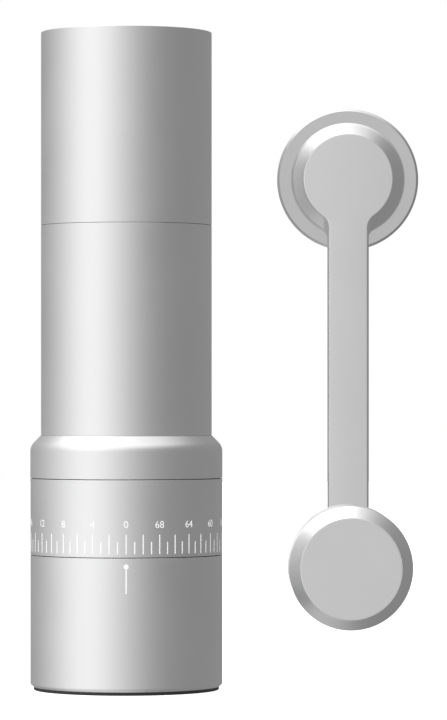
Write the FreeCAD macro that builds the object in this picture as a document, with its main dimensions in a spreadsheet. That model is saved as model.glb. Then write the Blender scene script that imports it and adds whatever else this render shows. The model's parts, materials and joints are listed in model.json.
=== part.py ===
"""Hand crank coffee grinder, as an assembly of separate pieces (millimetres, +Z up).

The origin is the middle of the rubber foot's underside. The grinder stands upright; its crank
is off the grinder, hanging beside it with the lid's top face towards -Y. The crank's pieces are
drawn in a frame of their own, with its origin on the lid's axis in the plane of the tube's rim,
+Z out of the lid and +X along the arm, and a placement then puts them beside the grinder.
"""
import FreeCAD, Part
import math
import os
from types import SimpleNamespace

import Sketcher
from FreeCAD import Placement, Rotation, Vector

DRIVING_SIZES = {
    # heights of the body, up from the surface it stands on
    "foot_height": 1.0,
    "cup_top": 41.0,
    "dial_top": 64.15,
    "collar_top": 77.4,
    "split_height": 141.3,
    "body_top": 200.0,
    # radii of the body
    "tube_radius": 26.0,
    "wide_radius": 29.25,
    "core_radius": 23.2,
    "hopper_radius": 21.0,
    "skirt_bore": 21.5,
    "cup_bore": 26.2,
    "edge": 0.25,
    "seam": 0.35,
    # ring of magnets between the cup and the body
    "magnet_circle": 23.45,
    "magnet_radius": 1.5,
    "magnet_height": 2.0,
    # spiders and bearings
    "lower_spider": 72.0,
    "upper_spider": 150.0,
    "screw_foot": 17.0,
    "bearing_radius": 8.0,
    "bearing_bore": 4.03,
    "bearing_width": 5.0,
    "shaft_radius": 3.98,
    # burrs
    "burr_bottom": 46.5,
    "burr_top": 64.5,
    "burr_radius": 19.6,
    "carrier_radius": 21.43,
    "pin_height": 52.6,
    "pin_radius": 1.1,
    # hex drive between the shaft and the crank
    "hex_flats": 7.0,
    "hex_top": 194.0,
    # lid and crank, from the plane of the tube's rim
    "lid_radius": 21.9,
    "lid_top": 1.5,
    "lid_ledge": 1.2,
    "spigot_radius": 20.6,
    "spigot_depth": 3.6,
    "socket_depth": 10.5,
    "arm_bottom": 1.9,
    "arm_top": 6.9,
    "lever": 119.3,
    "knob_radius": 18.8,
    "knob_bottom": 8.0,
    "knob_rim": 34.5,
    "knob_top": 40.5,
}

MAGNETS = 6
DETENTS = 72
DETENT_CIRCLE = 25.9
SPIDER_ARMS = 3
GUIDE_PINS = 3
BEARING_BALLS = 8
SCREW_RADIUS = 1.25
# where the crank hangs beside the grinder, and how far round the hex stands
CRANK_REST = Placement(
    Vector(68.16, 24.0, 156.54), Rotation(Vector(0, 0, -1), Vector(1, 0, 0), Vector(0, -1, 0), "XYZ")
)
HEX_ANGLE = 59.4
AXES = {"x": Vector(1, 0, 0), "z": Vector(0, 0, 1)}


class Size:
    """A length in mm together with the expression that ties it to the sheet."""

    def __init__(self, value, text=None):
        self.value = float(value)
        self.text = text or f"({value})"

    def __add__(self, other):
        other = as_size(other)
        return Size(self.value + other.value, f"({self.text} + {other.text})")

    def __sub__(self, other):
        other = as_size(other)
        return Size(self.value - other.value, f"({self.text} - {other.text})")

    def __mul__(self, factor):
        return Size(self.value * factor, f"({self.text} * {factor})")

    def __neg__(self):
        return self * -1


def as_size(item):
    return item if isinstance(item, Size) else Size(item)


def make_sheet(doc):
    """The driving sizes as aliased cells, and a Size for each of them."""
    sheet = doc.addObject("Spreadsheet::Sheet", "Sizes")
    for row, (alias, value) in enumerate(DRIVING_SIZES.items(), start=1):
        sheet.set(f"A{row}", alias)
        sheet.set(f"B{row}", str(value))
        sheet.setAlias(f"B{row}", alias)
    doc.recompute()
    sizes = {alias: Size(sheet.get(alias), f"Sizes.{alias}") for alias in DRIVING_SIZES}
    return SimpleNamespace(**sizes)


doc = FreeCAD.newDocument("coffee_grinder")
s = make_sheet(doc)
pieces = []


# ---------------------------------------------------------------- building blocks


def piece(obj, label):
    """Registers obj as the sub-part that is written as label.step."""
    obj.Label = label
    pieces.append(obj)
    return obj


def new_body(label):
    return piece(doc.addObject("PartDesign::Body", label), label)


def origin_feature(body, role):
    return next(f for f in body.Origin.OriginFeatures if f.Role == role)


def new_sketch(body, name, plane, lift=None):
    """An empty sketch on one of the body's origin planes, moved along its normal by lift."""
    sketch = body.newObject("Sketcher::SketchObject", name)
    sketch.AttachmentSupport = (origin_feature(body, plane), [""])
    sketch.MapMode = "FlatFace"
    if lift is not None:
        lift = as_size(lift)
        sketch.AttachmentOffset = Placement(Vector(0, 0, lift.value), Rotation())
        sketch.setExpression("AttachmentOffset.Base.z", lift.text)
    return sketch


def pin_point(sketch, geometry, point, across, along):
    """Ties one point of the sketch to two sheet-driven coordinates."""
    for kind, size in (("DistanceX", across), ("DistanceY", along)):
        index = sketch.addConstraint(
            Sketcher.Constraint(kind, -1, 1, geometry, point, size.value)
        )
        sketch.setExpression(f"Constraints[{index}]", size.text)


def draw_polygon(sketch, points):
    points = [(as_size(a), as_size(b)) for a, b in points]
    count = len(points)
    for i, (a, b) in enumerate(points):
        c, d = points[(i + 1) % count]
        line = Part.LineSegment(Vector(a.value, b.value, 0), Vector(c.value, d.value, 0))
        sketch.addGeometry(line)
    for i in range(count):
        sketch.addConstraint(Sketcher.Constraint("Coincident", i, 2, (i + 1) % count, 1))
    for i, (a, b) in enumerate(points):
        pin_point(sketch, i, 1, a, b)


def draw_circle(sketch, across, along, radius):
    across, along, radius = as_size(across), as_size(along), as_size(radius)
    centre = Vector(across.value, along.value, 0)
    index = sketch.addGeometry(Part.Circle(centre, Vector(0, 0, 1), radius.value))
    pin_point(sketch, index, 3, across, along)
    bind = sketch.addConstraint(Sketcher.Constraint("Radius", index, radius.value))
    sketch.setExpression(f"Constraints[{bind}]", radius.text)


def turned(label, outline):
    """A body turned about Z from a closed outline of (radius, height) corners."""
    body = new_body(label)
    sketch = new_sketch(body, f"{label}_outline", "XZ_Plane")
    draw_polygon(sketch, outline)
    turn = body.newObject("PartDesign::Revolution", f"{label}_turn")
    turn.Profile = sketch
    turn.ReferenceAxis = (sketch, ["V_Axis"])
    turn.Angle = 360
    doc.recompute()
    return body


def ring(label, inner, outer, bottom, top):
    return turned(label, [(inner, bottom), (outer, bottom), (outer, top), (inner, top)])


def repeat_round(body, feature, count):
    """Repeats a feature about the body's Z axis."""
    pattern = body.newObject("PartDesign::PolarPattern", f"{feature.Name}_round")
    pattern.Originals = [feature]
    pattern.Axis = (origin_feature(body, "Z_Axis"), [""])
    pattern.Angle = 360
    pattern.Occurrences = count
    body.Tip = pattern
    doc.recompute()


def cut(body, name, plane, lift, depth, draw, count=1, towards_normal=False):
    """Cuts what draw(sketch) draws, depth deep, and repeats it count times round Z."""
    before = body.Shape.Volume
    sketch = new_sketch(body, f"{name}_outline", plane, lift)
    draw(sketch)
    pocket = body.newObject("PartDesign::Pocket", name)
    pocket.Profile = sketch
    depth = as_size(depth)
    pocket.Length = depth.value
    pocket.setExpression("Length", depth.text)
    pocket.Reversed = towards_normal
    doc.recompute()
    if body.Shape.Volume >= before - 1e-3:
        raise RuntimeError(f"{name} cuts nothing")
    if count > 1:
        repeat_round(body, pocket, count)


def round_edge(body, name, radius, height, fillet):
    """Rounds the circular edge of the given radius at the given height."""
    base = body.Tip
    found = []
    for index, edge in enumerate(base.Shape.Edges, start=1):
        box = edge.BoundBox
        level = abs(box.ZMin - height.value) < 1e-3 and box.ZLength < 1e-3
        if level and abs(box.XMax - radius.value) < 1e-3:
            found.append(f"Edge{index}")
    feature = body.newObject("PartDesign::Fillet", name)
    feature.Base = (base, found)
    feature.Radius = fillet
    body.Tip = feature
    doc.recompute()


def cylinder(name, radius, height, base, axis="z", turn=0.0):
    """A Part cylinder whose foot is at base = (radial distance, height), turned about Z."""
    radius, height = as_size(radius), as_size(height)
    out, level = as_size(base[0]), as_size(base[1])
    solid = doc.addObject("Part::Cylinder", name)
    solid.setExpression("Radius", radius.text)
    solid.setExpression("Height", height.text)
    around = Rotation(Vector(0, 0, 1), turn)
    tilt = Rotation(Vector(0, 0, 1), AXES[axis])
    place = around.multVec(Vector(out.value, 0, level.value))
    solid.Placement = Placement(place, around.multiply(tilt))
    cosine, sine = math.cos(math.radians(turn)), math.sin(math.radians(turn))
    solid.setExpression("Placement.Base.x", f"{out.text} * {cosine:.12f}")
    solid.setExpression("Placement.Base.y", f"{out.text} * {sine:.12f}")
    solid.setExpression("Placement.Base.z", level.text)
    return solid


def cylinders_round(label, count, radius, height, base, axis="z", phase=0.0):
    """A group of like cylinders evenly spaced about Z, as one sub-part."""
    links = [
        cylinder(f"{label}_{i}", radius, height, base, axis, phase + 360.0 * i / count)
        for i in range(count)
    ]
    group = doc.addObject("Part::Compound", label)
    group.Links = links
    doc.recompute()
    return piece(group, label)


def shaped(label, shape):
    """A sub-part whose shape comes straight from Part's own functions."""
    feature = doc.addObject("Part::Feature", label)
    feature.Shape = shape
    return piece(feature, label)


def hexagon(flats, turn=0.0):
    """Corners of a hexagon of the given width across flats."""
    corner = as_size(flats) * (1 / math.sqrt(3))
    angles = [math.radians(60 * i + turn) for i in range(6)]
    return [(corner * math.cos(a), corner * math.sin(a)) for a in angles]


# ---------------------------------------------------------------- catch cup


def make_cup():
    foot_seat = s.foot_height * 2
    foot_edge, seat_radius = s.wide_radius - 1.35, s.wide_radius - 3.25
    turned("rubber_foot", [
        (0, 0), (foot_edge - 0.4, 0), (foot_edge, 0.4), (foot_edge, s.foot_height),
        (seat_radius, s.foot_height), (seat_radius, foot_seat), (0, foot_seat),
    ])
    cup = turned("catch_cup", [
        (0, foot_seat), (seat_radius, foot_seat), (seat_radius, s.foot_height),
        (s.wide_radius - 1, s.foot_height),
        (s.wide_radius, foot_seat), (s.wide_radius, s.cup_top - s.edge),
        (s.wide_radius - s.edge, s.cup_top), (s.skirt_bore + 0.1, s.cup_top),
        (s.skirt_bore + 0.1, s.cup_top - 4), (s.cup_bore, s.cup_top - 8.6), (s.cup_bore, 6),
        (s.cup_bore - 1.5, 4.5), (0, 4.5),
    ])
    cut(cup, "cup_magnet_seat", "XY_Plane", s.cup_top, s.magnet_height,
        lambda sketch: draw_circle(sketch, s.magnet_circle, 0, s.magnet_radius), MAGNETS)
    cylinders_round("cup_magnets", MAGNETS, s.magnet_radius, s.magnet_height,
                    (s.magnet_circle, s.cup_top - s.magnet_height))


# ---------------------------------------------------------------- housing


def make_housing():
    flange = s.skirt_bore + 3.9
    skirt = turned("base_skirt", [
        (s.skirt_bore, s.cup_top), (flange, s.cup_top), (flange, s.cup_top + 3),
        (s.core_radius, s.cup_top + 3), (s.core_radius, s.lower_spider),
        (s.skirt_bore, s.lower_spider),
    ])
    cut(skirt, "body_magnet_seat", "XY_Plane", s.cup_top, s.magnet_height,
        lambda sketch: draw_circle(sketch, s.magnet_circle, 0, s.magnet_radius), MAGNETS,
        towards_normal=True)
    slot_low, slot_high, half_slot = s.pin_height - 1.4, s.pin_height + 2.5, s.pin_radius + 0.15
    cut(skirt, "guide_slot", "YZ_Plane", 20, 6,
        lambda sketch: draw_polygon(sketch, [
            (-half_slot, slot_low), (half_slot, slot_low),
            (half_slot, slot_high), (-half_slot, slot_high),
        ]), GUIDE_PINS, towards_normal=True)
    cylinders_round("body_magnets", MAGNETS, s.magnet_radius, s.magnet_height,
                    (s.magnet_circle, s.cup_top))

    collar_low = s.dial_top + s.seam
    shoulder = s.collar_top - 3.3
    collar = turned("shoulder_collar", [
        (s.core_radius, collar_low), (s.wide_radius - s.edge, collar_low),
        (s.wide_radius, collar_low + s.edge), (s.wide_radius, shoulder),
        (s.tube_radius, s.collar_top), (s.core_radius, s.collar_top),
    ])
    round_edge(collar, "shoulder_round", s.wide_radius, shoulder, 3.8)
    cut(collar, "detent_bore", "XY_Plane", collar_low, 7,
        lambda sketch: draw_circle(sketch, DETENT_CIRCLE, 0, 1.35), towards_normal=True)

    tube = ring("inner_tube", s.hopper_radius, s.core_radius, s.lower_spider, s.body_top - 10)
    for name, spider in (("lower", s.lower_spider), ("upper", s.upper_spider)):
        cut(tube, f"{name}_screw_hole", "YZ_Plane", 19, 6,
            lambda sketch, level=spider + 4: draw_circle(sketch, 0, level, SCREW_RADIUS),
            SPIDER_ARMS, towards_normal=True)

    bevel = s.edge
    turned("grip_tube", [
        (s.core_radius, s.collar_top), (s.tube_radius, s.collar_top),
        (s.tube_radius, s.split_height - 0.15 - bevel),
        (s.tube_radius - bevel, s.split_height - 0.15), (s.core_radius, s.split_height - 0.15),
    ])
    turned("top_sleeve", [
        (s.core_radius, s.split_height + 0.15), (s.tube_radius - bevel, s.split_height + 0.15),
        (s.tube_radius, s.split_height + 0.15 + bevel), (s.tube_radius, s.body_top - 0.4),
        (s.tube_radius - 0.4, s.body_top), (s.core_radius, s.body_top),
    ])
    seat = s.lid_radius + 0.25
    turned("mouth_ring", [
        (s.spigot_radius + 0.3, s.body_top - 10), (s.core_radius, s.body_top - 10),
        (s.core_radius, s.body_top), (seat + 0.3, s.body_top), (seat, s.body_top - 0.3),
        (seat, s.body_top - s.lid_ledge - 0.05),
        (s.spigot_radius + 0.3, s.body_top - s.lid_ledge - 0.05),
    ])

    spiders = (("lower", s.lower_spider), ("upper", s.upper_spider))
    for name, low in spiders:
        make_spider(name, low)
    screws = doc.addObject("Part::Compound", "spider_screws")
    screws.Links = [
        cylinder(f"{name}_screw_{i}", SCREW_RADIUS, s.core_radius - 0.05 - s.screw_foot,
                 (s.screw_foot, low + 4), "x", 360.0 * i / SPIDER_ARMS)
        for name, low in spiders
        for i in range(SPIDER_ARMS)
    ]
    piece(screws, "spider_screws")

    ball = doc.addObject("Part::Sphere", "detent_ball")
    ball.Radius = 1.25
    ball.Placement.Base = Vector(DETENT_CIRCLE, 0, s.dial_top.value + 0.8)
    ball.setExpression("Placement.Base.z", (s.dial_top + 0.8).text)
    piece(ball, "detent_ball")
    coil("detent_spring", 1.0, 0.2, s.dial_top + 2.25, s.dial_top + 7.1, 6, DETENT_CIRCLE)


def make_spider(name, low):
    """A hub on three arms across the hopper, with its bearing, its clip and its screws' holes."""
    seat = low + 2.2
    hub = turned(f"{name}_spider", [
        (7, low + 1), (9.8, low + 1), (9.8, low + 8), (s.bearing_radius, low + 8),
        (s.bearing_radius, seat), (7, seat),
    ])
    reach = s.hopper_radius - 0.12
    sketch = new_sketch(hub, f"{name}_arm_outline", "XY_Plane", low + 1)
    draw_polygon(sketch, [(8.6, -2), (reach, -2), (reach, 2), (8.6, 2)])
    pad = hub.newObject("PartDesign::Pad", f"{name}_arm")
    pad.Profile = sketch
    pad.Length = 6
    doc.recompute()
    repeat_round(hub, pad, SPIDER_ARMS)
    cut(hub, f"{name}_screw_seat", "YZ_Plane", s.screw_foot, 5,
        lambda sketch: draw_circle(sketch, 0, low + 4, SCREW_RADIUS), SPIDER_ARMS,
        towards_normal=True)
    make_bearing(f"{name}_bearing", seat)
    clip_low = seat + s.bearing_width
    ring(f"{name}_bearing_clip", 5.5, s.bearing_radius, clip_low, low + 8)


def make_bearing(label, low):
    """Two races with a row of balls between them, as separate solids of one sub-part."""
    width = s.bearing_width.value
    base = Vector(0, 0, low.value)
    ball_circle = (s.bearing_radius.value + s.bearing_bore.value) / 2
    ball_radius = 0.88
    solids = []
    for inner, outer in (
        (s.bearing_bore.value, ball_circle - ball_radius),
        (ball_circle + ball_radius, s.bearing_radius.value),
    ):
        race = Part.makeCylinder(outer, width, base)
        solids.append(race.cut(Part.makeCylinder(inner, width, base)))
    for i in range(BEARING_BALLS):
        angle = 2 * math.pi * i / BEARING_BALLS
        centre = base + Vector(ball_circle * math.cos(angle), ball_circle * math.sin(angle), width / 2)
        solids.append(Part.makeSphere(ball_radius, centre))
    shaped(label, Part.makeCompound(solids))


def coil(label, radius, wire_radius, bottom, top, turns, offset=0.0):
    """A compression spring of round wire about Z, standing from bottom to top."""
    rise = top.value - bottom.value - 2 * wire_radius
    helix = Part.makeHelix(rise / turns, rise, radius)
    start = Vector(radius, 0, 0)
    section = Part.Wire([Part.makeCircle(wire_radius, start, Vector(0, 1, 0))])
    solid = Part.Wire(helix.Edges).makePipeShell([section], True, True)
    feature = shaped(label, solid)
    feature.Placement = Placement(Vector(offset, 0, bottom.value + wire_radius), Rotation())


# ---------------------------------------------------------------- shaft and inner burr


def make_shaft():
    hex_low = s.hex_top - 9
    shaft = turned("drive_shaft", [
        (0, s.cup_top + 0.3), (s.shaft_radius, s.cup_top + 0.3), (s.shaft_radius, hex_low),
        (0, hex_low),
    ])
    sketch = new_sketch(shaft, "hex_outline", "XY_Plane", hex_low)
    draw_polygon(sketch, hexagon(s.hex_flats, HEX_ANGLE))
    pad = shaft.newObject("PartDesign::Pad", "hex_head")
    pad.Profile = sketch
    pad.Length = 9
    shaft.Tip = pad
    doc.recompute()
    upper_bearing_top = s.upper_spider + 2.2 + s.bearing_width
    ring("shaft_clip", s.shaft_radius, 5.1, upper_bearing_top + 0.1, upper_bearing_top + 0.9)

    cone = s.burr_bottom
    burr = turned("inner_burr", [
        (s.shaft_radius, cone - 1), (17.2, cone - 1), (17.4, cone), (9, s.burr_top),
        (8, s.burr_top + 2), (s.shaft_radius, s.burr_top + 2),
    ])
    cut(burr, "feed_flute", "XY_Plane", s.burr_top + 2, 11,
        lambda sketch: draw_polygon(sketch, [(6.6, 0), (15, -1.5), (15, 4)]), 7)
    cut(burr, "grinding_flute", "XY_Plane", s.burr_top - 9, 10,
        lambda sketch: draw_polygon(sketch, [(14.2, 0), (18, -0.4), (18, 1.0)]), 35)
    ring("burr_washer", s.shaft_radius, 8, s.burr_bottom - 2, s.burr_bottom - 1)
    nut = new_body("burr_nut")
    sketch = new_sketch(nut, "burr_nut_outline", "XY_Plane", s.burr_bottom - 5)
    draw_polygon(sketch, hexagon(11))
    draw_circle(sketch, 0, 0, s.shaft_radius)
    pad = nut.newObject("PartDesign::Pad", "burr_nut_pad")
    pad.Profile = sketch
    pad.Length = 3
    doc.recompute()
    coil("preload_spring", 5.7, 0.6, s.burr_top + 2.05, s.lower_spider + 2.1, 3.5)


# ---------------------------------------------------------------- burr carrier and outer burr


def make_carrier():
    low, high = s.burr_bottom - 0.5, s.burr_top + 1.5
    carrier = turned("burr_carrier", [
        (s.burr_radius, low), (s.carrier_radius, low), (s.carrier_radius, high),
        (s.burr_radius - 1.4, high), (s.burr_radius - 1.4, s.burr_top),
        (s.burr_radius, s.burr_top),
    ])
    cut(carrier, "pin_hole", "YZ_Plane", 19, 4,
        lambda sketch: draw_circle(sketch, 0, s.pin_height, s.pin_radius), GUIDE_PINS,
        towards_normal=True)
    burr = turned("outer_burr", [
        (17.9, s.burr_bottom), (s.burr_radius, s.burr_bottom), (s.burr_radius, s.burr_top),
        (15.5, s.burr_top),
    ])
    cut(burr, "outer_flute", "XY_Plane", s.burr_top, 18,
        lambda sketch: draw_polygon(sketch, [(15.0, -0.9), (18.3, 0.2), (15.0, 0.9)]), 30)
    pin_foot = s.burr_radius + 0.05
    cylinders_round("guide_pins", GUIDE_PINS, s.pin_radius, s.carrier_radius - pin_foot + 3.17,
                    (pin_foot, s.pin_height), "x")


# ---------------------------------------------------------------- dial


def make_dial():
    low = s.cup_top + s.seam
    inner = 25.7
    click_seat = s.dial_top - 2.65
    turned("dial_ring", [
        (inner, low), (s.wide_radius - s.edge, low), (s.wide_radius, low + s.edge),
        (s.wide_radius, s.dial_top - s.edge), (s.wide_radius - s.edge, s.dial_top),
        (27.4, s.dial_top), (27.4, click_seat), (inner, click_seat),
    ])
    groove_low, groove_high = s.pin_height - 1.3, s.pin_height + 2.3
    bore = s.core_radius + 0.07
    turned("thread_ring", [
        (bore, s.cup_top + 4), (inner, s.cup_top + 4), (inner, click_seat), (bore, click_seat),
        (bore, groove_high), (24.9, groove_high), (24.9, groove_low), (bore, groove_low),
    ])
    clicks = ring("click_ring", s.core_radius + 0.3, 27.4, click_seat, s.dial_top - 0.55)
    cut(clicks, "click_notch", "YZ_Plane", 24.6, 2.2,
        lambda sketch: draw_polygon(sketch, [
            (-0.7, s.dial_top - 0.5), (0, s.dial_top - 1.05), (0.7, s.dial_top - 0.5),
        ]), DETENTS, towards_normal=True)


# ---------------------------------------------------------------- lid and crank


def make_lid():
    groove = s.spigot_radius - 1.2
    groove_low = -3.1
    bore = 8.5
    turned("lid_disc", [
        (bore, -s.spigot_depth), (s.spigot_radius - 0.3, -s.spigot_depth),
        (s.spigot_radius, -s.spigot_depth + 0.3), (s.spigot_radius, groove_low),
        (groove, groove_low), (groove, groove_low + 1.4), (s.spigot_radius, groove_low + 1.4),
        (s.spigot_radius, -s.lid_ledge), (s.lid_radius, -s.lid_ledge),
        (s.lid_radius, s.lid_top - 0.7), (s.lid_radius - 0.7, s.lid_top), (bore, s.lid_top),
    ])
    seal = doc.addObject("Part::Torus", "lid_seal")
    seal.setExpression("Radius1", (groove + 0.65).text)
    seal.Radius2 = 0.65
    seal.Placement.Base = Vector(0, 0, groove_low + 0.7)
    piece(seal, "lid_seal")
    ring("lid_bush", 6.57, bore, -s.spigot_depth, s.lid_top)


def keyhole(boss, half_width, blend, level):
    """Outline of a round boss that runs into a straight arm, at one level."""
    reach = s.lever.value
    centre = math.sqrt((boss + blend) ** 2 - (half_width + blend) ** 2)
    bend = math.atan2(half_width + blend, centre)
    on_boss = Vector(boss * math.cos(bend), boss * math.sin(bend), level)
    on_arm = Vector(centre, half_width, level)
    middle = (math.pi + bend + 1.5 * math.pi) / 2
    on_blend = Vector(
        centre + blend * math.cos(middle), half_width + blend + blend * math.sin(middle), level
    )

    def mirrored(point):
        return Vector(point.x, -point.y, point.z)

    arm_end = Vector(reach, half_width, level)
    tip = Vector(reach + half_width, 0, level)
    edges = [
        Part.Arc(on_boss, Vector(-boss, 0, level), mirrored(on_boss)).toShape(),
        Part.Arc(mirrored(on_boss), mirrored(on_blend), mirrored(on_arm)).toShape(),
        Part.LineSegment(mirrored(on_arm), mirrored(arm_end)).toShape(),
        Part.Arc(mirrored(arm_end), tip, arm_end).toShape(),
        Part.LineSegment(arm_end, on_arm).toShape(),
        Part.Arc(on_arm, on_blend, on_boss).toShape(),
    ]
    return Part.Wire(edges)


def make_crank():
    low, high = s.arm_bottom.value, s.arm_top.value
    chamfer = 0.7
    base_boss, top_boss = 17.6, 13.65
    base_half, top_half = 6.35, 5.65
    near_top = high - chamfer
    boss_near_top = top_boss + chamfer * (base_boss - top_boss) / (high - low)
    sides = Part.makeLoft(
        [keyhole(base_boss, base_half, 3.0, low), keyhole(boss_near_top, base_half, 4.8, near_top)],
        True, True,
    )
    top = Part.makeLoft(
        [keyhole(boss_near_top, base_half, 4.8, near_top), keyhole(top_boss, top_half, 5.4, high)],
        True, True,
    )
    arm = sides.fuse(top).removeSplitter()
    knob_axis = Vector(s.lever.value, 0, low)
    arm = arm.cut(Part.makeCylinder(4, high - low, knob_axis))
    arm = arm.cut(Part.makeCylinder(2, 3.1, Vector(0, 0, low)))
    shaped("crank_arm", arm)

    socket_low = -s.socket_depth
    clip_low = -s.spigot_depth - 1
    hex_depth = s.socket_depth - 5.4
    socket = turned("drive_socket", [
        (0, socket_low), (6.2, socket_low), (6.5, socket_low + 0.3), (6.5, clip_low),
        (5.6, clip_low), (5.6, clip_low + 0.8), (6.5, clip_low + 0.8), (6.5, s.arm_bottom),
        (0, s.arm_bottom),
    ])
    cut(socket, "hex_hole", "XY_Plane", socket_low, hex_depth,
        lambda sketch: draw_polygon(sketch, hexagon(s.hex_flats + 0.2)), towards_normal=True)
    cut(socket, "screw_head_seat", "XY_Plane", -5.4, 2.8,
        lambda sketch: draw_circle(sketch, 0, 0, 3.5), towards_normal=True)
    cut(socket, "screw_bore", "XY_Plane", -2.6, s.arm_bottom + 2.6,
        lambda sketch: draw_circle(sketch, 0, 0, 2), towards_normal=True)
    ring("socket_clip", 5.6, 8.2, clip_low, clip_low + 0.8)
    thread_top = s.arm_bottom + 3.1
    screw = turned("arm_screw", [
        (0, -5.3), (3.4, -5.3), (3.4, -2.6), (2, -2.6), (2, thread_top), (0, thread_top),
    ])
    cut(screw, "arm_screw_key", "XY_Plane", -5.3, 1.6,
        lambda sketch: draw_polygon(sketch, hexagon(3)), towards_normal=True)


def make_knob():
    """The knob and its axle, drawn about Z and then moved out to the end of the arm."""
    low, high = s.arm_bottom, s.arm_top
    axle_top = s.knob_top - 2.5
    axle = turned("knob_axle", [
        (0, low + 2), (4, low + 2), (4, high), (7, high), (7, high + 1.5), (3.5, high + 1.5),
        (3.5, axle_top - 1.2), (3, axle_top - 1.2), (3, axle_top - 0.4), (3.5, axle_top - 0.4),
        (3.5, axle_top), (0, axle_top),
    ])
    cut(axle, "axle_thread_hole", "XY_Plane", low + 2, 10,
        lambda sketch: draw_circle(sketch, 0, 0, 2), towards_normal=True)
    screw = turned("axle_screw", [
        (0, low), (3.9, low), (3.9, low + 2), (2, low + 2), (2, low + 12), (0, low + 12),
    ])
    cut(screw, "axle_screw_key", "XY_Plane", low, 1.3,
        lambda sketch: draw_polygon(sketch, hexagon(3)), towards_normal=True)
    ring("axle_clip", 3, 5.5, axle_top - 1.2, axle_top - 0.4)

    bush_low, bush_high = s.knob_bottom + 1.5, s.knob_rim + 2.1
    floor, hub = s.knob_bottom + 3, 8.5
    turned("knob_shell", [
        (7.7, s.knob_bottom), (s.knob_radius - 0.6, s.knob_bottom),
        (s.knob_radius, s.knob_bottom + 0.6), (s.knob_radius, s.knob_rim),
        (s.knob_radius - 3.4, s.knob_top), (15.1, s.knob_top), (15.1, s.knob_top - 1.9),
        (13.5, s.knob_top - 1.9), (13.5, floor), (hub, floor), (hub, bush_high),
        (6, bush_high), (6, s.knob_bottom + 1.2), (7.7, s.knob_bottom + 1.2),
    ])
    ring("knob_cap", 0, 15.05, s.knob_top - 1.9, s.knob_top)
    ring("lower_knob_bush", 3.55, 6, bush_low, bush_low + 5)
    ring("upper_knob_bush", 3.55, 6, bush_high - 5, bush_high)


def place_crank(first, first_on_knob_axis):
    """Moves the pieces made since first to where the crank hangs beside the grinder."""
    out_to_knob = Placement(Vector(s.lever.value, 0, 0), Rotation())
    for index, obj in enumerate(pieces[first:], start=first):
        drawn = out_to_knob.multiply(obj.Placement) if index >= first_on_knob_axis else obj.Placement
        obj.Placement = CRANK_REST.multiply(drawn)


def check_and_write():
    doc.recompute()
    failed = [o.Name for o in doc.Objects if {"Invalid", "Error"} & set(o.State)]
    failed += [o.Label for o in pieces if o.Shape.isNull() or not o.Shape.isValid()]
    if failed:
        raise RuntimeError(f"not written, these failed: {failed}")
    os.makedirs("parts", exist_ok=True)
    for obj in pieces:
        obj.Shape.exportStep(f"parts/{obj.Label}.step")
        print(f"{obj.Label:20s} {len(obj.Shape.Solids):3d} solids {obj.Shape.Volume:10.1f} mm3")


make_cup()
make_housing()
make_shaft()
make_carrier()
make_dial()
first_crank_piece = len(pieces)
make_lid()
make_crank()
first_knob_piece = len(pieces)
make_knob()
place_crank(first_crank_piece, first_knob_piece)
check_and_write()
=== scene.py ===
import json
import math

import bmesh
import bpy
from mathutils import Matrix, Vector


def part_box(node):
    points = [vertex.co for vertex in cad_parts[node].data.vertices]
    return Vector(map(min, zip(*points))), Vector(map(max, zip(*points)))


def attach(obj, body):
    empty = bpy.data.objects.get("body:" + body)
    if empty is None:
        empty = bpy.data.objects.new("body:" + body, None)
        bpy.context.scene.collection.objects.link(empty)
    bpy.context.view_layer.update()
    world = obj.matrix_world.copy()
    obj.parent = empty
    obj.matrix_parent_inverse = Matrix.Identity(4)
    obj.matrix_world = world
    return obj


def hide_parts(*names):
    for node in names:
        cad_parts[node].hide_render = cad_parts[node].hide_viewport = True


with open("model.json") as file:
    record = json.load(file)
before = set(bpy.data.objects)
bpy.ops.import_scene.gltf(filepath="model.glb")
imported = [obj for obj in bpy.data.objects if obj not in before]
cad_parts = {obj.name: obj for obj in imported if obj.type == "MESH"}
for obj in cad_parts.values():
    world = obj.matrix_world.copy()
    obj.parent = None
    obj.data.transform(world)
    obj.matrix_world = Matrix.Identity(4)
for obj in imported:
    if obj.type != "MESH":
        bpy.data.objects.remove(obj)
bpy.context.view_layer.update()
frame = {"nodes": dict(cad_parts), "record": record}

MM = 0.001

# ---------------------------------------------------------------- sizes read from the frame

CUP_LOW, CUP_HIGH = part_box("catch_cup")
DIAL_LOW, DIAL_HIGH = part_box("dial_ring")
COLLAR_LOW, COLLAR_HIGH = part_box("shoulder_collar")
GRIP_LOW, GRIP_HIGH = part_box("grip_tube")
TOP_LOW, TOP_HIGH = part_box("top_sleeve")
MOUTH_LOW, MOUTH_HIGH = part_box("mouth_ring")
CORE_LOW, CORE_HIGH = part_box("inner_tube")
LID_LOW, LID_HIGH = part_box("lid_disc")
KNOB_LOW, KNOB_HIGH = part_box("knob_shell")
FOOT_LOW, FOOT_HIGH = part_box("rubber_foot")

# radii of the cup and dial, of the tube above them, and of the tube inside that
WIDE = CUP_HIGH[0]
TUBE = GRIP_HIGH[0]
CORE = CORE_HIGH[0]
# the lid's face stands this far in front of the plane that the crank is drawn from
LID_TOP = 1.5 * MM
LID_CENTRE = Vector((
    (LID_LOW[0] + LID_HIGH[0]) / 2, LID_LOW[1] + LID_TOP, (LID_LOW[2] + LID_HIGH[2]) / 2,
))
KNOB_CENTRE = Vector((
    (KNOB_LOW[0] + KNOB_HIGH[0]) / 2, LID_CENTRE.y, (KNOB_LOW[2] + KNOB_HIGH[2]) / 2,
))
# the crank's own frame: +X along the arm (down), +Z out of the lid (towards the front)
CRANK_AXES = Matrix(((0, 1, 0), (0, 0, -1), (-1, 0, 0)))
UPRIGHT = Matrix.Identity(3)
ORIGIN = Vector((0, 0, 0))

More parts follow.
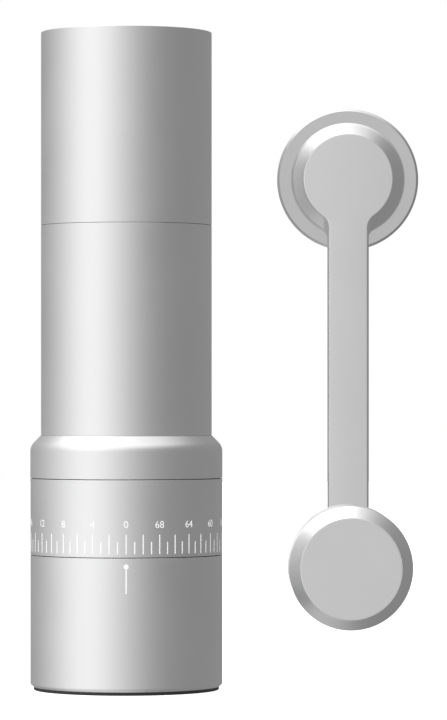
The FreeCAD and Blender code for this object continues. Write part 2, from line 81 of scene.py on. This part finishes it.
# edge radii: a broken edge, and one that looks sharp
LIP = 0.16 * MM
FINE = 0.04 * MM
# how far the dial's faces and the sleeves' ends close up the CAD's clearance gaps
DIAL_CLOSE = 0.13 * MM
SLEEVE_CLOSE = 0.1 * MM

# ---------------------------------------------------------------- meshes


def add_piece(name, mesh, material, body, *stands_for, slot=None):
    """A new object that rides on a body and stands for some CAD nodes."""
    piece = bpy.data.objects.new(name, mesh)
    bpy.context.scene.collection.objects.link(piece)
    mesh.materials.append(material)
    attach(piece, body)
    if stands_for:
        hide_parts(*stands_for)
    return piece


def rounded(corners, steps=6, support=0.12 * MM):
    """Outline points from corners (radius, height, rounding): arcs at the rounded ones, and a
    point close to each end of a long straight run, which keeps its shading flat."""
    points = []
    count = len(corners)
    for i, corner in enumerate(corners):
        here = Vector(corner[:2])
        before = Vector(corners[i - 1][:2])
        after = Vector(corners[(i + 1) % count][:2])
        back, ahead = (before - here).normalized(), (after - here).normalized()
        turn = math.pi - back.angle(ahead)
        rounding = corner[2] if len(corner) > 2 else 0.0
        if rounding == 0.0 or turn < 1e-3:
            arc = [here]
        else:
            reach = rounding * math.tan(turn / 2)
            start, end = here + back * reach, here + ahead * reach
            centre = here + (back + ahead).normalized() * rounding / math.cos(turn / 2)
            first, last = start - centre, end - centre
            arc = []
            for k in range(steps + 1):
                share = k / steps
                arc.append(centre + first.slerp(last, share) * rounding)
        if (before - arc[0]).length > 8 * support:
            points.append(arc[0] + back * support)
        points += arc
        if (after - arc[-1]).length > 8 * support:
            points.append(arc[-1] + ahead * support)
    return points


def lathe(name, corners, segments=192, axes=UPRIGHT, centre=ORIGIN, steps=6):
    """A closed solid of revolution from an outline given anticlockwise in (radius, height)."""
    outline = rounded(corners, steps)
    bm = bmesh.new()
    rings = []
    turns = [2 * math.pi * i / segments for i in range(segments)]
    for radius, height in outline:
        if radius < 1e-7:
            rings.append([bm.verts.new(axes @ Vector((0, 0, height)) + centre)])
            continue
        circle = [Vector((radius * math.cos(a), radius * math.sin(a), height)) for a in turns]
        rings.append([bm.verts.new(axes @ point + centre) for point in circle])
    for lower, upper in zip(rings, rings[1:] + rings[:1]):
        if len(lower) == 1 and len(upper) == 1:
            continue
        for i in range(segments):
            j = (i + 1) % segments
            corners_of_face = [lower[i % len(lower)], lower[j % len(lower)],
                               upper[j % len(upper)], upper[i % len(upper)]]
            bm.faces.new(dict.fromkeys(corners_of_face))
    bmesh.ops.recalc_face_normals(bm, faces=bm.faces)
    return finished_mesh(name, bm)


def finished_mesh(name, bm):
    """The bmesh as a mesh, shaded smooth but for edges that turn by more than 35 degrees."""
    mesh = bpy.data.meshes.new(name)
    bm.to_mesh(mesh)
    bm.free()
    mesh.shade_smooth()
    mesh.set_sharp_from_angle(angle=math.radians(35))
    return mesh


# ---------------------------------------------------------------- materials


# the values between which almost all of a noise texture lies
NOISE_LOW, NOISE_HIGH = 0.3, 0.7


def new_material(name, colour, roughness, metallic=0.0):
    material = bpy.data.materials.new(name)
    material.use_nodes = True
    shader = material.node_tree.nodes["Principled BSDF"]
    shader.inputs["Base Color"].default_value = (*colour, 1)
    shader.inputs["Roughness"].default_value = roughness
    shader.inputs["Metallic"].default_value = metallic
    material.diffuse_color = (*colour, 1)
    return material, material.node_tree, shader


def noise(tree, scale, detail=4, stretch=(1, 1, 1)):
    """Object-space noise with scale in cycles per metre, stretched along an axis if wanted."""
    place = tree.nodes.new("ShaderNodeTexCoord")
    mapping = tree.nodes.new("ShaderNodeMapping")
    mapping.inputs["Scale"].default_value = stretch
    tree.links.new(place.outputs["Object"], mapping.inputs["Vector"])
    texture = tree.nodes.new("ShaderNodeTexNoise")
    texture.inputs["Scale"].default_value = scale
    texture.inputs["Detail"].default_value = detail
    tree.links.new(mapping.outputs["Vector"], texture.inputs["Vector"])
    return texture.outputs["Fac"]


def spread(tree, value, low, high):
    """Spreads a noise over low to high."""
    node = tree.nodes.new("ShaderNodeMapRange")
    node.inputs["From Min"].default_value = NOISE_LOW
    node.inputs["From Max"].default_value = NOISE_HIGH
    node.inputs["To Min"].default_value = low
    node.inputs["To Max"].default_value = high
    tree.links.new(value, node.inputs["Value"])
    return node.outputs["Result"]


def tint(tree, value, colour, shift):
    """The colour, made darker or lighter by up to shift as the noise varies."""
    ramp = tree.nodes.new("ShaderNodeValToRGB")
    for element, factor in zip(ramp.color_ramp.elements, (1 - shift, 1 + shift)):
        element.color = (*[min(1, c * factor) for c in colour], 1)
    ramp.color_ramp.elements[0].position = NOISE_LOW
    ramp.color_ramp.elements[1].position = NOISE_HIGH
    tree.links.new(value, ramp.inputs["Fac"])
    return ramp.outputs["Color"]


def bump(tree, shader, height, strength, distance):
    """Raises the surface by a height between 0 and 1, times the distance."""
    node = tree.nodes.new("ShaderNodeBump")
    node.inputs["Strength"].default_value = strength
    node.inputs["Distance"].default_value = distance
    tree.links.new(height, node.inputs["Height"])
    tree.links.new(node.outputs["Normal"], shader.inputs["Normal"])


def blasted_metal(name, colour, roughness, grain=5000, depth=0.006 * MM):
    """Bead-blasted, anodised metal: a fine even grain and a faint unevenness of gloss."""
    material, tree, shader = new_material(name, colour, roughness, 1.0)
    cloud = noise(tree, 45, 3)
    gloss = spread(tree, cloud, roughness - 0.02, roughness + 0.02)
    tree.links.new(gloss, shader.inputs["Roughness"])
    tree.links.new(tint(tree, cloud, colour, 0.012), shader.inputs["Base Color"])
    bump(tree, shader, noise(tree, grain, 2), 0.25, depth)
    return material


def turned_metal(name, colour, roughness, pitch=9000, across=(0.02, 0.02, 1)):
    """Machined metal with fine lines across its axis."""
    material, tree, shader = new_material(name, colour, roughness, 1.0)
    lines = noise(tree, pitch, 2, across)
    gloss = spread(tree, lines, roughness - 0.06, roughness + 0.08)
    tree.links.new(gloss, shader.inputs["Roughness"])
    tree.links.new(tint(tree, noise(tree, 120, 4), colour, 0.05), shader.inputs["Base Color"])
    bump(tree, shader, lines, 0.3, 0.004 * MM)
    return material


def moulded(name, colour, roughness, grain=2500, depth=0.01 * MM):
    """Rubber or polymer with a fine moulded grain."""
    material, tree, shader = new_material(name, colour, roughness)
    cloud = noise(tree, 90, 4)
    gloss = spread(tree, cloud, roughness - 0.05, roughness + 0.05)
    tree.links.new(gloss, shader.inputs["Roughness"])
    tree.links.new(tint(tree, cloud, colour, 0.08), shader.inputs["Base Color"])
    bump(tree, shader, noise(tree, grain, 3), 0.4, depth)
    return material


def paint(name, colour, roughness):
    """A matt paint, very slightly uneven."""
    material, tree, shader = new_material(name, colour, roughness)
    tree.links.new(tint(tree, noise(tree, 1500, 3), colour, 0.03), shader.inputs["Base Color"])
    return material


ALUMINIUM = blasted_metal("satin_aluminium", (0.86, 0.86, 0.865), 0.40)
CRANK_ALUMINIUM = blasted_metal("satin_crank_aluminium", (0.83, 0.83, 0.835), 0.42)
# a darker copy of the crank's aluminium: its lower colour is painted shade, standing in for the
# shade that falls on the lid round the arm's boss
LID_ALUMINIUM_PAINTED_SHADE = blasted_metal("satin_lid_aluminium_painted_shade", (0.73, 0.73, 0.735), 0.42)
INNER_ALUMINIUM = turned_metal("machined_aluminium", (0.72, 0.72, 0.73), 0.32)
STEEL = turned_metal("ground_steel", (0.60, 0.60, 0.61), 0.26)
BURR_STEEL = turned_metal("burr_steel", (0.33, 0.33, 0.345), 0.34, pitch=4000)
NICKEL = blasted_metal("nickel_plate", (0.78, 0.77, 0.75), 0.16, grain=3000)
BRASS = turned_metal("brass", (0.78, 0.58, 0.28), 0.28)
POLYMER = moulded("bearing_polymer", (0.80, 0.78, 0.71), 0.45)
RUBBER = moulded("black_rubber", (0.018, 0.018, 0.019), 0.62)
INK = paint("white_fill", (0.84, 0.84, 0.83), 0.6)

SLOT_MATERIALS = {
    "body_aluminium": ALUMINIUM,
    "crank_aluminium": CRANK_ALUMINIUM,
    "inner_aluminium": INNER_ALUMINIUM,
    "steel": STEEL,
    "burr_steel": BURR_STEEL,
    "magnet_plating": NICKEL,
    "brass": BRASS,
    "bush_polymer": POLYMER,
    "rubber": RUBBER,
}


def finish_cad_nodes():
    """Gives every CAD node that stays the material of its slot."""
    for part in frame["record"]["subparts"]:
        node = frame["nodes"][part["node"]]
        material = SLOT_MATERIALS[part["material_slot"]]
        node.data.materials.clear()
        node.data.materials.append(material)


# ---------------------------------------------------------------- the body


def make_cup():
    """The catch cup, open at its top, and the rubber pad in its foot."""
    top, low = CUP_HIGH[2], CUP_LOW[2]
    inner_floor = low + 3.5 * MM
    rim, bore = 21.6 * MM, 26.2 * MM
    recess = 26 * MM
    mesh = lathe("cup_shell", [
        (0, low + 1 * MM), (recess, low + 1 * MM), (recess, low),
        (WIDE - 0.9 * MM, low, FINE), (WIDE, low + 0.8 * MM, 0.6 * MM),
        (WIDE, top, LIP), (rim, top, 0.3 * MM), (rim, top - 4 * MM, 0.8 * MM),
        (bore, top - 8.6 * MM, 2 * MM), (bore, inner_floor, 2.5 * MM), (0, inner_floor),
    ])
    add_piece("cup_shell", mesh, ALUMINIUM, "cup", "catch_cup", slot="body_aluminium")

    edge = FOOT_HIGH[0] + 0.3 * MM
    hollow = 0.25 * MM
    mesh = lathe("foot_pad", [
        (0, hollow), (edge - 5.4 * MM, hollow, 0.1 * MM), (edge - 5 * MM, 0, 0.1 * MM),
        (edge, 0, 0.35 * MM), (edge, low, 0.1 * MM), (recess, low),
        (recess, FOOT_HIGH[2]), (0, FOOT_HIGH[2]),
    ])
    add_piece("foot_pad", mesh, RUBBER, "cup", "rubber_foot", slot="rubber")


def make_dial_and_collar():
    """The plain outside of the dial, and the collar whose bevel leads in to the slim tube."""
    low, high = DIAL_LOW[2] - DIAL_CLOSE, DIAL_HIGH[2] + DIAL_CLOSE
    step = DIAL_HIGH[2] - 2.65 * MM
    bore, counterbore = 25.7 * MM, 27.4 * MM
    mesh = lathe("dial_collar", [
        (bore, low, FINE), (WIDE, low, FINE), (WIDE, high, LIP), (counterbore, high, FINE),
        (counterbore, step), (bore, step),
    ], segments=288)
    add_piece("dial_collar", mesh, ALUMINIUM, "dial", "dial_ring", slot="body_aluminium")

    low, high = COLLAR_LOW[2], COLLAR_HIGH[2]
    bevel, bevel_radius = 3.3 * MM, 3.8 * MM
    crest = high - 0.05 * MM
    mesh = lathe("shoulder_band", [
        (CORE, low), (WIDE, low, FINE), (WIDE, high - bevel, bevel_radius),
        (TUBE + 0.1 * MM, crest, 0.05 * MM), (TUBE - 0.1 * MM, crest),
        (TUBE - 0.1 * MM, high - 0.3 * MM), (CORE, high - 0.3 * MM),
    ], steps=14)
    add_piece("shoulder_band", mesh, ALUMINIUM, "housing", "shoulder_collar", slot="body_aluminium")


def make_sleeves():
    """The two outer sleeves of the slim tube, with the seam between them."""
    for name, node, low, high in (
        ("grip_sleeve", "grip_tube", GRIP_LOW[2], GRIP_HIGH[2] + SLEEVE_CLOSE),
        ("upper_sleeve", "top_sleeve", TOP_LOW[2] - SLEEVE_CLOSE, TOP_HIGH[2]),
    ):
        mesh = lathe(name, [
            (CORE, low), (TUBE, low, FINE), (TUBE, high, LIP), (CORE, high),
        ])
        add_piece(name, mesh, ALUMINIUM, "housing", node, slot="body_aluminium")


def make_mouth():
    """The stepped ring in the mouth, where the lid sits, and the tube that holds the beans."""
    low, high = MOUTH_LOW[2], MOUTH_HIGH[2]
    seat, bore = 22.15 * MM, 20.9 * MM
    ledge = high - 1.25 * MM
    mesh = lathe("mouth_rim", [
        (bore, low), (CORE, low), (CORE, high), (seat, high, 0.2 * MM), (seat, ledge),
        (bore, ledge, 0.25 * MM),
    ])
    add_piece("mouth_rim", mesh, INNER_ALUMINIUM, "housing", "mouth_ring", slot="inner_aluminium")

    inside = 21 * MM
    mesh = lathe("hopper_tube", [
        (inside, CORE_LOW[2]), (CORE, CORE_LOW[2]), (CORE, CORE_HIGH[2]), (inside, CORE_HIGH[2]),
    ])
    add_piece("hopper_tube", mesh, INNER_ALUMINIUM, "housing", "inner_tube", slot="inner_aluminium")


# ---------------------------------------------------------------- marks on the dial and the cup


# the dial's divisions, and how far to the right of the front its zero stands
DIVISIONS = 72
DIVISION = 2 * math.pi / DIVISIONS
MARKS_FACE = math.radians(1.2)
MARK_THICKNESS = 0.02 * MM


def wrap(bm, radius, turn):
    """Bends flat marks (x across, y up, z out) round the grinder, turn radians left of where
    the zero stands."""
    for vert in bm.verts:
        angle = vert.co.x / radius - turn + MARKS_FACE
        out = radius + vert.co.z
        vert.co = Vector((out * math.sin(angle), -out * math.cos(angle), vert.co.y))


def strip(bm, width, low, high, thickness):
    """A small bar with rounded ends, standing up from low to high."""
    half = width / 2
    outline = []
    for centre, start in ((high - half, 0.0), (low + half, math.pi)):
        for k in range(7):
            angle = start + math.pi * k / 6
            outline.append((half * math.cos(angle), centre + half * math.sin(angle)))
    add_prism(bm, outline, thickness)


def add_prism(bm, outline, thickness):
    """A flat outline, given anticlockwise, as a thin closed solid."""
    back = [bm.verts.new((x, y, 0)) for x, y in outline]
    front = [bm.verts.new((x, y, thickness)) for x, y in outline]
    bm.faces.new(front)
    bm.faces.new(back[::-1])
    for i in range(len(outline)):
        j = (i + 1) % len(outline)
        bm.faces.new((back[i], back[j], front[j], front[i]))


def digits_mesh(text, height):
    """The outline of a number as a thin flat solid, its lower edge at y = 0."""
    curve = bpy.data.curves.new(f"digits_{text}", "FONT")
    curve.body = text
    curve.align_x = "CENTER"
    curve.size = height / 0.73
    curve.resolution_u = 6
    curve.extrude = 0.01 * MM
    holder = bpy.data.objects.new(curve.name, curve)
    bpy.context.scene.collection.objects.link(holder)
    evaluated = holder.evaluated_get(bpy.context.evaluated_depsgraph_get())
    mesh = bpy.data.meshes.new_from_object(evaluated)
    bpy.data.objects.remove(holder)
    bpy.data.curves.remove(curve)
    return mesh


def join(bm, mark):
    """Adds a mark's mesh to the others, and frees it."""
    part = bpy.data.meshes.new("mark")
    mark.to_mesh(part)
    mark.free()
    bm.from_mesh(part)
    bpy.data.meshes.remove(part)


def make_ticks(base):
    """A long tick at every second division, and a short one at the others."""
    bm = bmesh.new()
    for division in range(DIVISIONS):
        mark = bmesh.new()
        top = 6.7 * MM if division % 2 == 0 else 4.6 * MM
        strip(mark, 0.34 * MM, base + 0.85 * MM, base + top, MARK_THICKNESS)
        wrap(mark, WIDE, DIVISION * division)
        join(bm, mark)
    add_piece("dial_ticks", finished_mesh("dial_ticks", bm), INK, "dial")


def make_numbers(base):
    """A number at every fourth division."""
    bm = bmesh.new()
    for number in range(0, DIVISIONS, 4):
        flat = digits_mesh(str(number), 2.17 * MM)
        mark = bmesh.new()
        mark.from_mesh(flat)
        bpy.data.meshes.remove(flat)
        for vert in mark.verts:
            vert.co = Vector((vert.co.x, vert.co.y + base + 8.7 * MM, max(0.0, vert.co.z) * 2))
        wrap(mark, WIDE, DIVISION * number)
        join(bm, mark)
    add_piece("dial_numbers", finished_mesh("dial_numbers", bm), INK, "dial")


def make_pointer(top):
    """The dot and the line under it, on the cup's front."""
    bm = bmesh.new()
    radius, middle = 0.74 * MM, top - 2.5 * MM
    dot = [(radius * math.cos(a), middle + radius * math.sin(a))
           for a in (2 * math.pi * k / 32 for k in range(32))]
    add_prism(bm, dot, MARK_THICKNESS)
    strip(bm, 0.38 * MM, top - 10.7 * MM, top - 3.1 * MM, MARK_THICKNESS)
    wrap(bm, WIDE, 0)
    add_piece("cup_pointer", finished_mesh("cup_pointer", bm), INK, "cup")


# ---------------------------------------------------------------- arm, lid and knob


def keyhole(boss, half, blend, lever):
    """Outline of a round boss that runs into a straight arm with a round end, anticlockwise."""
    reach = math.sqrt((boss + blend) ** 2 - (half + blend) ** 2)
    bend = math.atan2(half + blend, reach)
    side = [Vector((lever + half * math.cos(a), half * math.sin(a)))
            for a in (math.pi / 2 * i / 20 for i in range(21))]
    side += [Vector((lever + (reach - lever) * i / 24, half)) for i in range(1, 24)]
    turn = math.pi / 2 - bend
    side += [
        Vector((reach - blend * math.sin(a), half + blend - blend * math.cos(a)))
        for a in (turn * i / 16 for i in range(17))
    ]
    side += [
        Vector((boss * math.cos(a), boss * math.sin(a)))
        for a in (bend + (math.pi - bend) * i / 96 for i in range(1, 97))
    ]
    return side + [Vector((p.x, -p.y)) for p in side[-2:0:-1]]


def arm_mesh(lever):
    """The arm: a bevelled boss that runs into a flat bar, with every edge finely broken."""
    low, high = 1.9 * MM, 6.9 * MM
    base, top, bar, face = 17.6 * MM, 13.65 * MM, 6.35 * MM, 5.75 * MM
    rise = 0.45 * MM
    near = top + rise * 0.79
    # each level's boss radius, half width of the bar, fillet between the two, and height
    levels = [
        (base - 0.15 * MM, bar - 0.1 * MM, 3.0 * MM, low),
        (base, bar, 3.0 * MM, low + 0.1 * MM),
        (base - 0.05 * MM, bar, 3.0 * MM, low + 0.25 * MM),
        (base - 0.55 * MM, bar, 3.1 * MM, low + 0.5 * MM),
        (base - 0.75 * MM, bar, 3.2 * MM, low + 0.75 * MM),
        (near + 0.25 * MM, bar, 4.8 * MM, high - rise - 0.3 * MM),
        (near, bar, 4.8 * MM, high - rise),
        (near - 0.1 * MM, bar - 0.05 * MM, 4.85 * MM, high - rise + 0.08 * MM),
        (top + 0.12 * MM, face + 0.1 * MM, 5.3 * MM, high - 0.06 * MM),
        (top, face, 5.4 * MM, high - 0.01 * MM),
        (top - 0.15 * MM, face - 0.15 * MM, 5.5 * MM, high),
    ]
    bm = bmesh.new()
    loops = []
    for boss, half, blend, level in levels:
        loops.append([
            bm.verts.new(CRANK_AXES @ Vector((p.x, p.y, level)) + LID_CENTRE)
            for p in keyhole(boss, half, blend, lever)
        ])
    for lower, upper in zip(loops, loops[1:]):
        for i in range(len(lower)):
            j = (i + 1) % len(lower)
            bm.faces.new((lower[i], lower[j], upper[j], upper[i]))
    bm.faces.new(loops[0][::-1])
    bm.faces.new(loops[-1])
    bmesh.ops.recalc_face_normals(bm, faces=bm.faces)
    return finished_mesh("crank_bar", bm)


def make_arm():
    lever = LID_CENTRE.z - KNOB_CENTRE.z
    mesh = arm_mesh(lever)
    add_piece("crank_bar", mesh, CRANK_ALUMINIUM, "crank", "crank_arm", slot="crank_aluminium")


def make_lid():
    """A bevelled disc with a spigot behind it, and the groove for its seal."""
    lid = (LID_HIGH[0] - LID_LOW[0]) / 2
    spigot, ledge, depth = 20.6 * MM, 1.2 * MM, 3.6 * MM
    groove, groove_low = spigot - 1.2 * MM, -3.1 * MM
    groove_high = groove_low + 1.4 * MM
    bore, bevel = 8.5 * MM, 0.7 * MM
    mesh = lathe("lid_plate", [
        (bore, -depth), (spigot, -depth, 0.25 * MM), (spigot, groove_low, 0.08 * MM),
        (groove, groove_low), (groove, groove_high), (spigot, groove_high, 0.08 * MM),
        (spigot, -ledge), (lid, -ledge, 0.2 * MM), (lid, LID_TOP - bevel, 0.12 * MM),
        (lid - bevel, LID_TOP, 0.12 * MM), (bore, LID_TOP),
    ], axes=CRANK_AXES, centre=LID_CENTRE)
    # the lid wears the darker copy of the crank's aluminium, whose colour paints in the shade round
    # the arm's boss
    add_piece("lid_plate", mesh, LID_ALUMINIUM_PAINTED_SHADE, "lid", "lid_disc", slot="crank_aluminium")


def make_knob():
    """The knob's hollow shell, and the cap that closes it at the front."""
    knob = (KNOB_HIGH[0] - KNOB_LOW[0]) / 2
    low, rim, top = 8 * MM, 34.5 * MM, 40.5 * MM
    face, cap_floor = 15.1 * MM, top - 1.9 * MM
    hollow, hollow_floor = 13.5 * MM, low + 3 * MM
    hub, hub_top = 8.5 * MM, rim + 2.1 * MM
    seat, seat_floor, bore = 7.7 * MM, low + 1.2 * MM, 6 * MM
    mesh = lathe("knob_body", [
        (seat, low, 0.3 * MM), (knob, low, 0.6 * MM), (knob, rim, 0.25 * MM),
        (knob - 3.4 * MM, top, 0.2 * MM), (face, top), (face, cap_floor),
        (hollow, cap_floor), (hollow, hollow_floor), (hub, hollow_floor),
        (hub, hub_top), (bore, hub_top), (bore, seat_floor),
        (seat, seat_floor),
    ], axes=CRANK_AXES, centre=KNOB_CENTRE)
    add_piece("knob_body", mesh, CRANK_ALUMINIUM, "knob", "knob_shell", slot="crank_aluminium")
    cap = face - 0.03 * MM
    mesh = lathe("knob_face", [
        (0, cap_floor), (cap, cap_floor), (cap, top, 0.05 * MM), (0, top),
    ], axes=CRANK_AXES, centre=KNOB_CENTRE)
    add_piece("knob_face", mesh, CRANK_ALUMINIUM, "knob", "knob_cap", slot="crank_aluminium")


# ---------------------------------------------------------------- studio


def area_light(name, place, target, size, energy):
    """A rectangular light at a place, turned to face its target."""
    light = bpy.data.lights.new(name, "AREA")
    light.shape = "RECTANGLE"
    light.size, light.size_y = size
    light.energy = energy
    holder = bpy.data.objects.new(name, light)
    holder.location = place
    aim = Vector(target) - Vector(place)
    holder.rotation_euler = aim.to_track_quat("-Z", "Y").to_euler()
    bpy.context.scene.collection.objects.link(holder)
    return holder


def make_floor():
    """A pale floor that reads as a white sweep; the metal mirrors the room in its place."""
    bm = bmesh.new()
    bmesh.ops.create_circle(bm, cap_ends=True, segments=96, radius=3.0)
    mesh = bpy.data.meshes.new("floor")
    bm.to_mesh(mesh)
    bm.free()
    material, tree, shader = new_material("pale_floor", (0.95, 0.95, 0.95), 0.9)
    shader.inputs["Specular IOR Level"].default_value = 0.1
    shader.inputs["Emission Color"].default_value = (1, 1, 1, 1)
    shader.inputs["Emission Strength"].default_value = 0.72
    tree.links.new(
        tint(tree, noise(tree, 400, 3), (0.95, 0.95, 0.95), 0.006), shader.inputs["Base Color"]
    )
    mesh.materials.append(material)
    floor = bpy.data.objects.new("floor", mesh)
    floor.visible_glossy = False
    bpy.context.scene.collection.objects.link(floor)


# brightness of the studio's walls by direction, in degrees right of the camera's side
WALLS = (
    (-180, 0.31), (-150, 0.34), (-127, 0.42), (-103, 0.60), (-83, 0.81), (-66, 1.03), (-50, 1.14),
    (-36, 1.10), (-22, 0.97), (-9, 0.79), (0, 0.685), (12, 0.54), (32, 0.35), (54, 0.275),
    (90, 0.265), (134, 0.29), (180, 0.31),
)
# the ramp holds colours up to 1, so each brightness goes in as a share of this
BRIGHTEST = 1.2
# brightness above and below the walls
ROOM = 0.27
# directions of the softbox and of the lit patch of sweep, each with the cosines at which it
# starts and is full, and its strength
SOFTBOX = Vector((-0.22, -0.15, 0.96)).normalized()
SWEEP = Vector((-0.40, 0.0, -0.92)).normalized()
PATCHES = ((SOFTBOX, 0.45, 0.92, 1.0), (SWEEP, 0.78, 0.97, 0.6))

# the grinder's body stands between the crank and the broad light on the left, so the crank has
# fills of its own, which only the floor shades: name, place, size, energy and the pieces lit
FILLS = (
    ("knob_fill", (-0.70, 0.42, 0.20), (0.7, 0.9), 9.0, ("knob_body",)),
    ("knob_top_fill", (-0.30, 0.55, 0.80), (0.9, 0.6), 3.0, ("knob_body",)),
    ("edge_fill", (-0.75, -0.35, 0.20), (0.45, 0.9), 1.5, ("lid_plate", "crank_bar")),
)
FILL_TARGET = (0.068, 0, 0.08)
# the crank and what it carries, which the body's metal doesn't mirror
UNMIRRORED_PIECES = ("knob_body", "knob_face", "crank_bar", "lid_plate")
UNMIRRORED_NODES = (
    "drive_socket", "socket_clip", "arm_screw", "knob_axle", "axle_screw", "axle_clip",
    "lid_seal", "lid_bush", "lower_knob_bush", "upper_knob_bush",
)


def make_world():
    """White to the camera; to everything else a studio with a broad light on the left, a
    softbox overhead and a lit patch of sweep low on the left."""
    world = bpy.data.worlds.new("studio")
    world.use_nodes = True
    bpy.context.scene.world = world
    tree = world.node_tree

    def math_node(operation, *values):
        node = tree.nodes.new("ShaderNodeMath")
        node.operation = operation
        for socket, value in zip(node.inputs, values):
            if isinstance(value, (int, float)):
                socket.default_value = value
            else:
                tree.links.new(value, socket)
        return node.outputs[0]

    def ease(value, start, end, low, high):
        node = tree.nodes.new("ShaderNodeMapRange")
        node.interpolation_type = "SMOOTHSTEP"
        ends = {"From Min": start, "From Max": end, "To Min": low, "To Max": high}
        for name, number in ends.items():
            node.inputs[name].default_value = number
        tree.links.new(value, node.inputs["Value"])
        return node.outputs["Result"]

    place = tree.nodes.new("ShaderNodeTexCoord").outputs["Generated"]
    split = tree.nodes.new("ShaderNodeSeparateXYZ")
    tree.links.new(place, split.inputs[0])
    across, depth, up = split.outputs
    azimuth = math_node("ARCTAN2", across, math_node("MULTIPLY", depth, -1.0))
    share = math_node("ADD", math_node("DIVIDE", azimuth, 2 * math.pi), 0.5)
    ramp = tree.nodes.new("ShaderNodeValToRGB")
    stops = ramp.color_ramp.elements
    for i, (angle, level) in enumerate(WALLS):
        position = angle / 360 + 0.5
        stop = stops[i] if i < 2 else stops.new(position)
        stop.position = position
        stop.color = (*[level / BRIGHTEST] * 3, 1)
    tree.links.new(share, ramp.inputs["Fac"])
    walls = math_node("MULTIPLY", ramp.outputs["Color"], BRIGHTEST)
    near_horizon = ease(math_node("ABSOLUTE", up), 0.35, 0.85, 1.0, 0.0)
    lit_walls = math_node("MULTIPLY", math_node("SUBTRACT", walls, ROOM), near_horizon)
    level = math_node("ADD", lit_walls, ROOM)
    for centre, start, end, strength in PATCHES:
        facing = tree.nodes.new("ShaderNodeVectorMath")
        facing.operation = "DOT_PRODUCT"
        facing.inputs[1].default_value = centre
        tree.links.new(place, facing.inputs[0])
        patch = ease(facing.outputs["Value"], start, end, 0.0, strength)
        level = math_node("ADD", level, patch)

    room = tree.nodes["Background"]
    tree.links.new(level, room.inputs["Color"])
    seen = tree.nodes.new("ShaderNodeBackground")
    seen.inputs["Color"].default_value = (1, 1, 1, 1)
    ray = tree.nodes.new("ShaderNodeLightPath")
    mix = tree.nodes.new("ShaderNodeMixShader")
    tree.links.new(ray.outputs["Is Camera Ray"], mix.inputs["Fac"])
    tree.links.new(room.outputs[0], mix.inputs[1])
    tree.links.new(seen.outputs[0], mix.inputs[2])
    tree.links.new(mix.outputs[0], tree.nodes["World Output"].inputs["Surface"])


def linked(name, objects):
    """A collection outside the scene, for a light's links."""
    collection = bpy.data.collections.new(name)
    for item in objects:
        collection.objects.link(bpy.data.objects[item])
    return collection


def make_lights():
    area_light("overhead", (-0.35, 0.1, 1.1), (0.02, 0, 0.1), (0.9, 0.9), 1.5)
    for name, place, size, energy, lit in FILLS:
        light = area_light(name, place, FILL_TARGET, size, energy)
        light.light_linking.receiver_collection = linked(name + "_receivers", lit)
        light.light_linking.blocker_collection = linked(name + "_blockers", ("floor",))
    for piece in UNMIRRORED_PIECES:
        bpy.data.objects[piece].visible_glossy = False
    for node in UNMIRRORED_NODES:
        frame["nodes"][node].visible_glossy = False


def make_camera():
    """A long lens, level, below the grinder's middle; the shift raises the frame to suit."""
    distance, horizon, sideways = 1.2436, 0.08937, 0.0296
    data = bpy.data.cameras.new("camera")
    data.lens = 204.0
    data.sensor_width = 36.0
    data.shift_y = 0.05
    data.clip_end = 20
    camera = bpy.data.objects.new("camera", data)
    camera.location = (sideways, -distance, horizon)
    camera.rotation_euler = (math.radians(90), 0, 0)
    bpy.context.scene.collection.objects.link(camera)
    bpy.context.scene.camera = camera


bpy.context.scene.view_settings.view_transform = "Standard"
finish_cad_nodes()
make_cup()
make_dial_and_collar()
make_sleeves()
make_mouth()
make_ticks(DIAL_LOW[2])
make_numbers(DIAL_LOW[2])
make_pointer(CUP_HIGH[2])
make_arm()
make_lid()
make_knob()
make_floor()
make_world()
make_lights()
make_camera()
